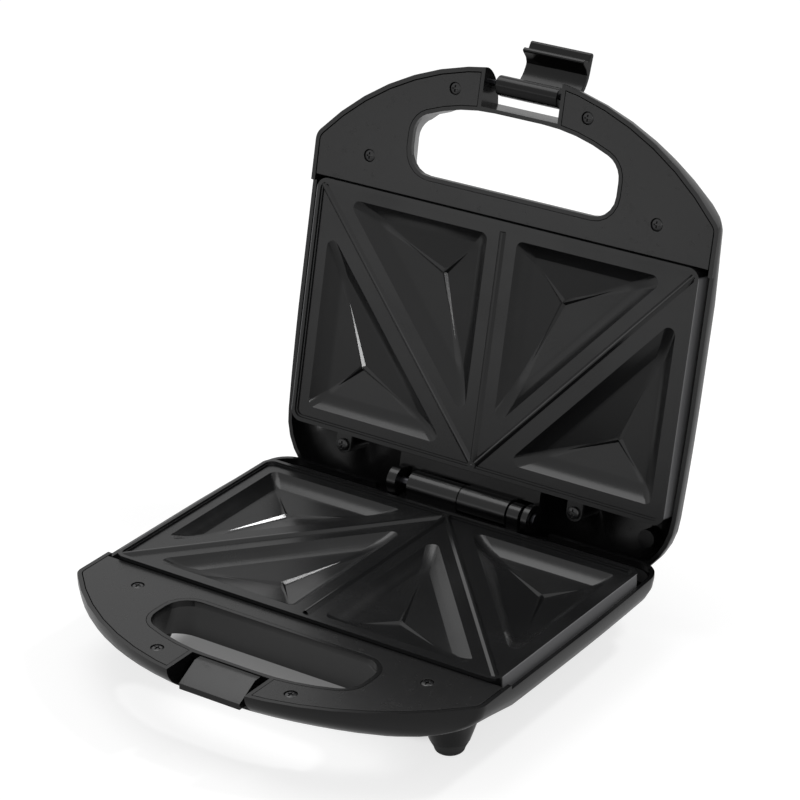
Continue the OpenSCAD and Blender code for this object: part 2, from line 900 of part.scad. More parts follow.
module cross_screw(at, seat, head_r, head_h, shank_r, length) {
  translate([at.x, at.y, seat])
    difference() {
      union() {
        intersection() {
          cylinder(r = head_r, h = head_h);
          translate([0, 0, head_h - 3 * head_r])
            sphere(r = 3 * head_r);
        }
        translate([0, 0, -length])
          cylinder(r = shank_r, h = length);
      }
      for (a = [0, 90])
        rotate(a)
          translate([-head_r * 0.6, -0.4, head_h - 0.9])
            cube([head_r * 1.2, 0.8, 2]);
    }
}

module shield_screws() {
  for (at = posts_at)
    mirror([0, 0, 1])
      cross_screw(at, shield_t - shield_z, 3, 1.8, 1.5, 5);
}

module panel_screws() {
  for (at = panel_screws_at)
    cross_screw(at, -top_drop - 1.5, 2.9, 1.5, 1.5, 8);
}

module base_heating_element() {
  color("#8d9094")
    base_half()
      heating_element();
}

module lid_heating_element() {
  color("#8d9094")
    lid_half()
      heating_element();
}

module base_element_clamps() {
  color("#b9bcc0")
    base_half()
      element_clamps();
}

module lid_element_clamps() {
  color("#b9bcc0")
    lid_half()
      element_clamps();
}

module base_heat_shield() {
  color("#c4c7ca")
    base_half()
      heat_shield();
}

module lid_heat_shield() {
  color("#c4c7ca")
    lid_half()
      heat_shield();
}

module base_shield_screws() {
  color("#a8abae")
    base_half()
      shield_screws();
}

module lid_shield_screws() {
  color("#a8abae")
    lid_half()
      shield_screws();
}

module base_panel_screws() {
  color("#1f1f1f")
    base_half()
      panel_screws();
}

module lid_panel_screws() {
  color("#1f1f1f")
    lid_half()
      panel_screws();
}

module base_rear_screws() {
  color("#1f1f1f")
    base_half()
      for (at = base_lugs_at)
        cross_screw(at, -cover_drop, 2.9, 1.6, 1.5, 10);
}

module lid_rear_screws() {
  color("#1f1f1f")
    lid_half()
      for (at = lid_lugs_at)
        cross_screw(at, -skirt_drop + 2, 3.2, 1.8, 1.5, 8);
}

// ---- Electrical parts ----

// Bimetal disc thermostat pressed up under the plate.
module thermostat() {
  color("#c9b07a")
    base_half()
      translate([0, -18, -pan_drop]) {
        translate([0, 0, -9])
          cylinder(r = 8, h = 9);
        translate([0, 0, -16])
          cylinder(r = 6.5, h = 7);
        for (s = [0, 1])
          mirror([s, 0, 0])
            block([6, -3.15, -13], [15, 3.15, -12.2]);
      }
}

module thermal_fuse() {
  color("#d8d4c8")
    base_half()
      translate([30, -30, shield_z - shield_t - 2.2])
        rotate([0, 90, 0]) {
          cylinder(r = 2.2, h = 12);
          translate([0, 0, -8])
            cylinder(r = 0.6, h = 28);
        }
}

module terminal_block() {
  color("#e8e4da")
    base_half()
      translate([-45, 22, -floor_in])
        difference() {
          block([0, 0, 0], [30, 14, 9]);
          for (x = [6, 15, 24]) {
            rod_y([x, 4], 2, -1, 15);
            rod_z([x, 7], 2.4, 5, 10);
          }
        }
}

module cord_inlet_grommet() {
  color("#121212")
    base_half()
      difference() {
        union() {
          rod_y(cord_at, 5 - snug, base_rear - 25, base_rear - 7.5);
          rod_y(cord_at, 6.6, base_rear - 8, base_rear - 6.2);
        }
        rod_y(cord_at, 3.6, base_rear - 30, base_rear);
      }
}

module lamp_holder() {
  color("#d8d6cf")
    lid_half()
      difference() {
        block([-holder_post_x - 3.5, lamp_y - 9, holder_top], [holder_post_x + 3.5, lamp_y + 9, holder_top + 6]);
        for (x = lamps_x) {
          rod_y([x, holder_top + 2], 3.1, lamp_y - 6.2, lamp_y + 6.2);
          rod_z([x, lamp_y], 3.1, holder_top - 1, holder_top + 2);
        }
        for (x = [-holder_post_x, holder_post_x])
          rod_z([x, lamp_y], 1.4, -60, 0);
      }
}

module neon_lamps() {
  color("#f1a24a")
    lid_half()
      for (x = lamps_x) {
        rod_y([x, holder_top + 2], 3, lamp_y - 4, lamp_y + 6);
        rod_y([x, holder_top + 2], 0.8, lamp_y - 6, lamp_y - 4);
      }
}

// Domed button with a flange behind the housing's wall.
module lamp_lens(x) {
  lid_half()
    translate([x, lamp_y, -floor_in]) {
      cylinder(r = 5, h = 1.2);
      intersection() {
        translate([0, 0, -wall - 1.6])
          cylinder(r = 4, h = wall + 2);
        translate([0, 0, 9 - wall - 1.6])
          sphere(r = 9);
      }
    }
}

module power_lamp_lens() {
  color("#b01712")
    lamp_lens(lamps_x[0]);
}

module ready_lamp_lens() {
  color("#1f8f3a")
    lamp_lens(lamps_x[1]);
}

// ---- Feet, hinge pin, latch ----

module rubber_feet() {
  color("#101010")
    base_half()
      for (at = feet_at)
        translate([at.x, at.y, -foot_seat]) {
          cylinder(r = 3.5, h = 8);
          mirror([0, 0, 1])
            rotate_extrude()
              foot_profile();
        }
}

// Half of a foot's side view, carrying on the slope of the leg above it.
module foot_profile() {
  low = foot_d / 2 - leg_slope * foot_height;
  polygon(concat(
    [[0, 0], [foot_d / 2, 0]],
    [for (a = [0:15:90]) [low - 2.5 + 2.5 * cos(a), foot_height - 2.5 + 2.5 * sin(a)]],
    [[0, foot_height]]
  ));
}

module hinge_pin() {
  color("#9a9da1")
    base_half() {
      hinge_axis_rod([left_ear[0] - 1, right_ear[1] + 1], hinge_pin_d / 2);
      hinge_axis_rod([left_ear[0] - 2, left_ear[0] - easy], hinge_pin_d / 2 + 1.2);
      hinge_axis_rod([right_ear[1] + easy, right_ear[1] + 2], hinge_pin_d / 2 + 1.2);
    }
}

module latch_pin() {
  color("#9a9da1")
    lid_half()
      rod_x([-notch_half - 5, notch_half + 5], [latch_y, latch_z], latch_pin_d / 2);
}

// Points on an arc about a centre.
function arc_points(at, r, from, to, steps) =
  [for (i = [0:steps]) let (a = from + (to - from) * i / steps) at + r * [cos(a), sin(a)]];

// Side view of the clip when hooked, about its pivot: hub, curved sheet, lip and hook.
module clip_profile() {
  hook = hook_z;
  polygon(concat(
    arc_points([0, 0], clip_hub, 165, -75, 24),
    arc_points(clip_bend_at, clip_bend, 258, 145, 14),
    arc_points(lip_tip, clip_sheet / 2, 145, -35, 8),
    [[-6.4, hook + 3.6], [-2.6, hook + 2.2], [-2.4, hook + 0.6], [-3.2, hook], [-8, hook], [-10.4, hook - 0.9]],
    arc_points(clip_bend_at, clip_bend - clip_sheet, 150, 238, 12)
  ));
}

module latch_clip() {
  color("#0f0f0f")
    lid_half()
      translate([0, latch_y, latch_z])
        rotate([latch_angle, 0, 0])
          difference() {
            along_x(-latch_width / 2, latch_width / 2)
              clip_profile();
            rod_x([-60, 60], [0, 0], latch_pin_d / 2 + running);
          }
}

base_housing();
base_handle_panel();
base_rear_cover();
base_cooking_plate();
base_heating_element();
base_element_clamps();
base_heat_shield();
base_shield_screws();
base_panel_screws();
base_rear_screws();
thermostat();
thermal_fuse();
terminal_block();
cord_inlet_grommet();
rubber_feet();
hinge_pin();
lid_housing();
lid_handle_panel();
lid_cooking_plate();
lid_heating_element();
lid_element_clamps();
lid_heat_shield();
lid_shield_screws();
lid_panel_screws();
lid_rear_screws();
lamp_holder();
neon_lamps();
power_lamp_lens();
ready_lamp_lens();
latch_pin();
latch_clip();
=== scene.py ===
"""Studio scene of an open two-slice sandwich toaster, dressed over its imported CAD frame."""

from __future__ import annotations

import logging
import math
from dataclasses import dataclass
from enum import Enum

import bmesh
import bpy
from mathutils import Matrix, Vector


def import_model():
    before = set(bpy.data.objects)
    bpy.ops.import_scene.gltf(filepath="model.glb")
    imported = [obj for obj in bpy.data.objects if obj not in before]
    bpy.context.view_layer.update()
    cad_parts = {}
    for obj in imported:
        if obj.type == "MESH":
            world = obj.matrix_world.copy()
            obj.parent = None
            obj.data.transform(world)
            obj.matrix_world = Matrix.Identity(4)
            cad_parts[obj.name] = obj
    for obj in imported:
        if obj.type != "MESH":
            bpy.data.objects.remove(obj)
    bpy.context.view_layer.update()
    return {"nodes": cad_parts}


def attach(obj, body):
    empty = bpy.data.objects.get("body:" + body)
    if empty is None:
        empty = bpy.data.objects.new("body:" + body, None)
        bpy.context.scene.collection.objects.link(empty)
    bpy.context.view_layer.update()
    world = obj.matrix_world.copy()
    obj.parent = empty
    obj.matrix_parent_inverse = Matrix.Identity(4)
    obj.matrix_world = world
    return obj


LOG = logging.getLogger("toaster")
MM = 0.001
SENSOR_MM = 36.0

# Faces smaller than this, in square metres, belong to a dome and are shaded smooth.
SMOOTH_AREA = 1e-6


# ---- Shader expressions ----


class Field:
    """A socket that carries a number through a material's nodes."""

    def __init__(self, graph: "Graph", socket: bpy.types.NodeSocket) -> None:
        """Wrap a socket.

        Args:
            graph: the graph that owns the socket.
            socket: the output socket.
        """
        self.graph = graph
        self.socket = socket

    def _math(self, operation: str, *terms: "Field | float") -> "Field":
        """Add a Math node.

        Args:
            operation: the node's operation.
            terms: its inputs, in order.

        Returns:
            The node's result.
        """
        return self.graph.node("ShaderNodeMath", {"operation": operation}, dict(enumerate(terms)))

    def __add__(self, other: "Field | float") -> "Field":
        """Sum."""
        return self._math("ADD", self, other)

    __radd__ = __add__

    def __sub__(self, other: "Field | float") -> "Field":
        """Difference."""
        return self._math("SUBTRACT", self, other)

    def __rsub__(self, other: "Field | float") -> "Field":
        """Difference from a number."""
        return self._math("SUBTRACT", other, self)

    def __mul__(self, other: "Field | float") -> "Field":
        """Product."""
        return self._math("MULTIPLY", self, other)

    __rmul__ = __mul__

    def clamped(self) -> "Field":
        """The value held between 0 and 1."""
        return self._math("MINIMUM", self._math("MAXIMUM", self, 0.0), 1.0)

    def size(self) -> "Field":
        """The value without its sign."""
        return self._math("ABSOLUTE", self)

    def most(self, other: "Field") -> "Field":
        """The larger of two values."""
        return self._math("MAXIMUM", self, other)

    def ramp(self, low: float, high: float) -> "Field":
        """A smooth step from 0 at low to 1 at high."""
        settings = {"interpolation_type": "SMOOTHSTEP"}
        inputs = {"Value": self, "From Min": low, "From Max": high}
        return self.graph.node("ShaderNodeMapRange", settings, inputs)


def shade(colour: tuple[float, float, float], factor: float) -> tuple[float, ...]:
    """A colour made darker or lighter by a factor."""
    return tuple(factor * c for c in colour)


class Graph:
    """The node graph of a material or a world, filled by expressions."""

    def __init__(self, owner: "bpy.types.Material | bpy.types.World") -> None:
        """Start the graph empty.

        Args:
            owner: the material or world that holds it.
        """
        owner.use_nodes = True
        self.owner = owner
        self.tree = owner.node_tree
        self.tree.nodes.clear()

    @classmethod
    def of_material(cls, name: str) -> "Graph":
        """The empty graph of a new material."""
        return cls(bpy.data.materials.new(name))

    def node(
        self,
        kind: str,
        settings: dict | None = None,
        inputs: dict | None = None,
        output: int | str = 0,
    ) -> Field:
        """Add one node.

        Args:
            kind: the node's type.
            settings: its properties, set first.
            inputs: socket name or number to a value or a Field.
            output: the output socket to hand back.

        Returns:
            The chosen output as a Field.
        """
        made = self.tree.nodes.new(kind)
        for key, value in (settings or {}).items():
            setattr(made, key, value)
        for key, value in (inputs or {}).items():
            if isinstance(value, Field):
                self.tree.links.new(value.socket, made.inputs[key])
            else:
                made.inputs[key].default_value = value
        return Field(self, made.outputs[output])

    def place(self) -> Field:
        """Object coordinates, in metres of the shared frame."""
        return self.node("ShaderNodeTexCoord", output="Object")

    def along(self, axis: str) -> Field:
        """One object coordinate, X, Y or Z."""
        return self.node("ShaderNodeSeparateXYZ", {}, {"Vector": self.place()}, axis)

    def ray(self, kind: str) -> Field:
        """1 for rays of a kind, such as Camera or Glossy, and 0 for all others."""
        return self.node("ShaderNodeLightPath", output=f"Is {kind} Ray")

    def noise(
        self, scale: float, detail: float = 2.0, rough: float = 0.5, at: Field | None = None
    ) -> Field:
        """Fractal noise from 0 to 1.

        Args:
            scale: features per metre.
            detail: octaves.
            rough: weight of the finer octaves.
            at: coordinates, or None for the object's own.

        Returns:
            The noise value.
        """
        inputs = {"Vector": at or self.place(), "Scale": scale, "Detail": detail, "Roughness": rough}
        return self.node("ShaderNodeTexNoise", {}, inputs, "Fac")

    def stretched(self, x: float, y: float, z: float) -> Field:
        """Object coordinates scaled along each axis."""
        inputs = {"Vector": self.place(), "Scale": (x, y, z)}
        return self.node("ShaderNodeMapping", {"vector_type": "POINT"}, inputs)

    def mix(self, share: Field, low: "Field | tuple", high: "Field | tuple") -> Field:
        """A colour between two.

        Args:
            share: 0 gives low, 1 gives high.
            low: the first colour.
            high: the second colour.

        Returns:
            The mixed colour.
        """
        settings = {"data_type": "RGBA", "clamp_factor": True}
        ends = (end if isinstance(end, Field) else (*end, 1.0) for end in (low, high))
        return self.node("ShaderNodeMix", settings, dict(zip((0, 6, 7), (share, *ends))), 2)

    def bump(self, height: Field, strength: float, distance: float, under: Field | None = None) -> Field:
        """A bumped normal.

        Args:
            height: the height field.
            strength: from 0 to 1.
            distance: full height in metres.
            under: a normal to build on.

        Returns:
            The normal.
        """
        inputs: dict = {"Height": height, "Strength": strength, "Distance": distance}
        if under is not None:
            inputs["Normal"] = under
        return self.node("ShaderNodeBump", {}, inputs)

    def surface(self, inputs: dict) -> bpy.types.Material:
        """End the graph in one Principled surface.

        Args:
            inputs: socket name to a value or a Field.

        Returns:
            The finished material.
        """
        self.end(self.node("ShaderNodeBsdfPrincipled", {}, inputs, "BSDF"))
        return self.owner

    def end(self, shader: Field, kind: str = "ShaderNodeOutputMaterial") -> None:
        """Join the last shader to the output.

        Args:
            shader: the last shader.
            kind: the output node's type.
        """
        out = self.tree.nodes.new(kind)
        self.tree.links.new(shader.socket, out.inputs["Surface"])


# ---- Finishes ----


@dataclass(frozen=True)
class MouldedPlastic:
    """Injection-moulded plastic, from polished to fine-grained."""

    name: str
    colour: tuple[float, float, float]
    roughness: float
    grain: float = 0.0
    gloss: float = 0.5
    grain_scale: float = 2600.0

    def material(self) -> bpy.types.Material:
        """Build the material.

        Returns:
            The material, with moulding waviness, grain and faint handling marks.
        """
        g = Graph.of_material(self.name)
        wave = g.noise(38.0, 2.0)
        grain = g.noise(self.grain_scale, 2.0, 0.6)
        marks = g.noise(210.0, 4.0, 0.65).ramp(0.55, 0.78)
        cloud = (wave * 0.6 + grain * 0.4).clamped()
        colour = g.mix(cloud, shade(self.colour, 0.86), shade(self.colour, 1.2))
        rough = (marks * 0.07 + wave * 0.04 + (self.roughness - 0.03)).clamped()
        normal = g.bump(wave, 0.25, 0.00012)
        normal = g.bump(grain, 0.15 + 0.6 * self.grain, 0.00002 + 0.00005 * self.grain, normal)
        return g.surface(
            {
                "Base Color": colour,
                "Roughness": rough,
                "Normal": normal,
                "Specular IOR Level": self.gloss,
                "IOR": 1.5,
            }
        )


@dataclass(frozen=True)
class NonStickCoating:
    """Dark sprayed coating over cast aluminium, with a painted reflection: a pale colour on the plate's
    outer skirt.
    """

    name: str
    colour: tuple[float, float, float]
    painted_skirt_sheen: tuple[float, float, float]
    roughness: float = 0.25
    gloss: float = 0.38
    painted_sheen_from: float = 0.1095
    painted_sheen_fade: float = 0.0004

    def material(self) -> bpy.types.Material:
        """Build the material.

        Returns:
            The material, with spatter, casting waviness and soft wipe marks.
        """
        g = Graph.of_material(self.name)
        spatter = g.noise(3200.0, 2.0, 0.6)
        cast = g.noise(70.0, 3.0, 0.55)
        wipe = g.noise(1.6, 3.0, 0.55, g.stretched(12.0, 26.0, 26.0))
        fleck = spatter.ramp(0.62, 0.74)
        colour = g.mix(cast, shade(self.colour, 0.88), shade(self.colour, 1.14))
        colour = g.mix(fleck * 0.3, colour, shade(self.colour, 2.6))
        # Painted reflection: the plate's outer skirt is given a pale colour that stands in for light
        # glancing off its side.
        painted_sheen_mask = g.along("X").size().ramp(self.painted_sheen_from, self.painted_sheen_from + self.painted_sheen_fade)
        colour = g.mix(painted_sheen_mask, colour, self.painted_skirt_sheen)
        rough = (wipe.ramp(0.4, 0.7) * 0.05 + spatter * 0.05 + (self.roughness - 0.05)).clamped()
        normal = g.bump(cast, 0.2, 0.0001)
        normal = g.bump(spatter, 0.3, 0.00002, normal)
        return g.surface(
            {
                "Base Color": colour,
                "Roughness": rough,
                "Normal": normal,
                "Specular IOR Level": self.gloss,
                "IOR": 1.5,
            }
        )


@dataclass(frozen=True)
class WorkedMetal:
    """Plated, drawn or rolled metal."""

    name: str
    colour: tuple[float, float, float]
    roughness: float
    brushed: float = 0.5

    def material(self) -> bpy.types.Material:
        """Build the material.

        Returns:
            The material, with drawing lines and slight tarnish.
        """
        g = Graph.of_material(self.name)
        lines = g.noise(1.0, at=g.stretched(60.0, 2400.0, 2400.0))
        tarnish = g.noise(120.0, 4.0, 0.6).ramp(0.4, 0.75)
        colour = g.mix(tarnish, self.colour, shade(self.colour, 0.72))
        rough = (lines * 0.12 + tarnish * 0.1 + (self.roughness - 0.06)).clamped()
        normal = g.bump(lines, 0.3 * self.brushed, 0.00002)
        return g.surface({"Base Color": colour, "Metallic": 1.0, "Roughness": rough, "Normal": normal})


@dataclass(frozen=True)
class MatteBody:
    """Rubber, ceramic or phenolic moulding with a dull, slightly mottled face."""

    name: str
    colour: tuple[float, float, float]
    roughness: float
    mottle: float = 0.2
    pores: float = 0.4

    def material(self) -> bpy.types.Material:
        """Build the material.

        Returns:
            The material, with mottling and fine pores.
        """
        g = Graph.of_material(self.name)
        cloud = g.noise(160.0, 3.0)
        pore = g.noise(1800.0, 2.0)
        colour = g.mix(cloud, shade(self.colour, 1.0 - self.mottle), self.colour)
        rough = (pore * 0.1 + (self.roughness - 0.05)).clamped()
        normal = g.bump(pore, self.pores, 0.00005)
        return g.surface({"Base Color": colour, "Roughness": rough, "Normal": normal})


@dataclass(frozen=True)
class TintedLens:
    """Clear tinted plastic or glass."""

    name: str
    colour: tuple[float, float, float]
    roughness: float = 0.12
    alpha: float = 1.0
    coat: float = 0.5

    def material(self) -> bpy.types.Material:
        """Build the material.

        Returns:
            The material, its tint darker in soft random clouds.
        """
        g = Graph.of_material(self.name)
        cloud = g.noise(300.0, 2.0)
        colour = g.mix(cloud, shade(self.colour, 0.8), self.colour)
        rough = (cloud * 0.05 + self.roughness).clamped()
        return g.surface(
            {"Base Color": colour, "Roughness": rough, "Alpha": self.alpha, "Coat Weight": self.coat}
        )


class Finish(Enum):
    """The finishes of the toaster's pieces."""

    HOUSING = MouldedPlastic("housing_gloss", (0.0040, 0.0040, 0.0042), 0.22, 0.08, 0.36)
    PANEL = MouldedPlastic("panel_satin", (0.0090, 0.0090, 0.0092), 0.26, 0.5, 0.40)
    COVER = MouldedPlastic("cover_satin", (0.0050, 0.0050, 0.0052), 0.30, 0.4, 0.35)
    CLIP = MouldedPlastic("clip_polished", (0.0035, 0.0035, 0.0036), 0.24, 0.0, 0.26)
    # The third, pale colour of each coating is the painted reflection on the plate's outer skirt.
    COATING = NonStickCoating("nonstick_coating", (0.0070, 0.0071, 0.0074), (0.22, 0.22, 0.225))
    CREASE = NonStickCoating(
        "nonstick_creases", (0.0070, 0.0071, 0.0074), (0.22, 0.22, 0.225), 0.17, 0.5
    )
    SHEATH = WorkedMetal("element_sheath", (0.32, 0.31, 0.30), 0.42)
    SHEET = WorkedMetal("shield_sheet", (0.78, 0.79, 0.80), 0.26)
    ZINC = WorkedMetal("zinc_steel", (0.62, 0.63, 0.65), 0.32)
    BLACK_STEEL = MouldedPlastic("blackened_screw", (0.006, 0.006, 0.0065), 0.30, 0.2, 0.6)
    PHENOLIC = MatteBody("phenolic", (0.26, 0.17, 0.09), 0.55)
    CERAMIC = MatteBody("ceramic", (0.80, 0.78, 0.72), 0.60, 0.08)
    DARK_PIN = WorkedMetal("blued_steel", (0.05, 0.05, 0.055), 0.30)
    RUBBER = MatteBody("foot_rubber", (0.016, 0.016, 0.016), 0.62, 0.25, 0.6)
    NEON = TintedLens("neon_glass", (0.95, 0.55, 0.28), 0.08, 0.55)
    RED = TintedLens("lens_red", (0.50, 0.015, 0.012))
    GREEN = TintedLens("lens_green", (0.02, 0.36, 0.06))


_MADE: dict[Finish, bpy.types.Material] = {}


def material_of(finish: Finish) -> bpy.types.Material:
    """The one material of a finish.

    Args:
        finish: which finish.

    Returns:
        Its material, made on first use.
    """
    if finish not in _MADE:
        _MADE[finish] = finish.value.material()
    return _MADE[finish]


# ---- Places ----


@dataclass(frozen=True)
class HalfFrame:
    """One half's own millimetres: origin at the plate's middle, rim at zero, up out of the food side.

    Attributes:
        lid: whether it is the lid's frame, turned about the hinge.
        hinge: the hinge axis, behind and above the base plate's middle.
        gap: between the two plates' rims with the lid shut.
        opening: the lid's angle from shut, in degrees.
        shift: how far the base plate's middle lies in front of the shared origin.
        stand: height of the base plate's rim over the floor.
    """

    lid: bool
    hinge: tuple[float, float] = (78.3, 0.6)
    gap: float = 1.2
    opening: float = 102.5
    shift: float = 13.6706
    stand: float = 42.5

    def at(self, x: float, y: float, z: float) -> Vector:
        """A point of this half in the shared frame.

        Args:
            x: across the plate.
            y: towards the hinge.
            z: out of the cooking side.

        Returns:
            The point in metres.
        """
        if self.lid:
            a = math.radians(self.opening)
            out, up = y - self.hinge[0], self.gap - z - self.hinge[1]
            y = self.hinge[0] + out * math.cos(a) + up * math.sin(a)
            z = self.hinge[1] - out * math.sin(a) + up * math.cos(a)
        return Vector((x, y - self.shift, z + self.stand)) * MM


@dataclass(frozen=True)
class PlanLine:
    """A straight line in the plate's plan, moved sideways to its left."""

    through: Vector
    way: Vector
    moved: float = 0.0

    def normal(self) -> Vector:
        """Unit vector to the line's left."""
        return Vector((-self.way.y, self.way.x)).normalized()

    def crossing(self, other: "PlanLine") -> Vector:
        """Where two lines meet.

        Args:
            other: the second line.

        Returns:
            Their common point.
        """
        n, m = self.normal(), other.normal()
        c = n.dot(self.through) + self.moved
        d = m.dot(other.through) + other.moved
        det = n.x * m.y - n.y * m.x
        return Vector(((c * m.y - n.y * d) / det, (n.x * d - c * m.x) / det))


# ---- Work on frame nodes ----


@dataclass
class SoftEdges:
    """Rounds a frame node's sharp edges by modifiers and shades it smooth.

    Attributes:
        width: width of the rounding in millimetres, or 0 for none.
        segments: faces across the rounding.
        angle: sharpest turn between faces that stays as it is, in degrees.
        flat: turn up to which neighbouring faces count as one, in degrees.
    """

    width: float = 0.5
    segments: int = 2
    angle: float = 32.0
    flat: float = 0.4

    def apply(self, obj: bpy.types.Object) -> None:
        """Put the modifiers on.

        Args:
            obj: the node's object.
        """
        for face in obj.data.polygons:
            face.use_smooth = True
        weld = obj.modifiers.new("weld", "WELD")
        weld.merge_threshold = 1e-6
        faces = obj.modifiers.new("whole_faces", "DECIMATE")
        faces.decimate_type = "DISSOLVE"
        faces.angle_limit = math.radians(self.flat)
        if self.width > 0:
            bevel = obj.modifiers.new("soft_edges", "BEVEL")
            bevel.width = self.width * MM
            bevel.segments = self.segments
            bevel.limit_method = "ANGLE"
            bevel.angle_limit = math.radians(self.angle)
            bevel.use_clamp_overlap = True
            bevel.harden_normals = False
        normals = obj.modifiers.new("normals", "WEIGHTED_NORMAL")
        normals.keep_sharp = True
        normals.weight = 60


def dress(nodes: dict, name: str, finish: Finish, edges: SoftEdges) -> None:
    """Give a frame node its finish and edges.

    Args:
        nodes: the frame's nodes by name.
        name: which node.
        finish: its finish.
        edges: how its edges are softened.
    """
    obj = nodes[name]
    obj.data.materials.clear()
    obj.data.materials.append(material_of(finish))
    edges.apply(obj)
    LOG.info("dressed %s with %s", name, finish.name)


@dataclass
class Shell:
    """A housing half with its handle panel."""

    side: str
    housing_edge: float = 0.6
    panel_edge: float = 0.45
    screw_edge: float = 0.12

    def build(self, nodes: dict) -> None:
        """Dress the housing, the panel and their screws.

        Args:
            nodes: the frame's nodes.
        """
        dress(nodes, f"{self.side}_housing", Finish.HOUSING, SoftEdges(self.housing_edge))
        dress(nodes, f"{self.side}_handle_panel", Finish.PANEL, SoftEdges(self.panel_edge))
        for screws in ("panel_screws", "rear_screws"):
            dress(nodes, f"{self.side}_{screws}", Finish.BLACK_STEEL, SoftEdges(self.screw_edge, 1))


@dataclass
class HotSide:
    """A cooking plate and the heating parts behind it."""

    side: str
    plate_edge: float = 0.35
    plate_turn: float = 9.0

    def build(self, nodes: dict) -> None:
        """Dress the plate, element, clamps, shield and screws.

        Args:
            nodes: the frame's nodes.
        """
        cast = SoftEdges(self.plate_edge, angle=self.plate_turn)
        dress(nodes, f"{self.side}_cooking_plate", Finish.COATING, cast)
        for part, finish in (
            ("heating_element", Finish.SHEATH),
            ("element_clamps", Finish.ZINC),
            ("heat_shield", Finish.SHEET),
            ("shield_screws", Finish.ZINC),
        ):
            dress(nodes, f"{self.side}_{part}", finish, SoftEdges(0.0))


def loft(mesh: bmesh.types.BMesh, near: list[Vector], far: list[Vector]) -> None:
    """Add the closed solid between two rings of as many points.

    Args:
        mesh: the mesh under way.
        near: the first ring, in metres.
        far: the second ring, in metres.
    """
    rings = [[mesh.verts.new(point) for point in ring] for ring in (near, far)]
    count = len(near)
    for i in range(count):
        j = (i + 1) % count
        mesh.faces.new((rings[0][i], rings[0][j], rings[1][j], rings[1][i]))
    for ring in rings:
        mesh.faces.new(ring)


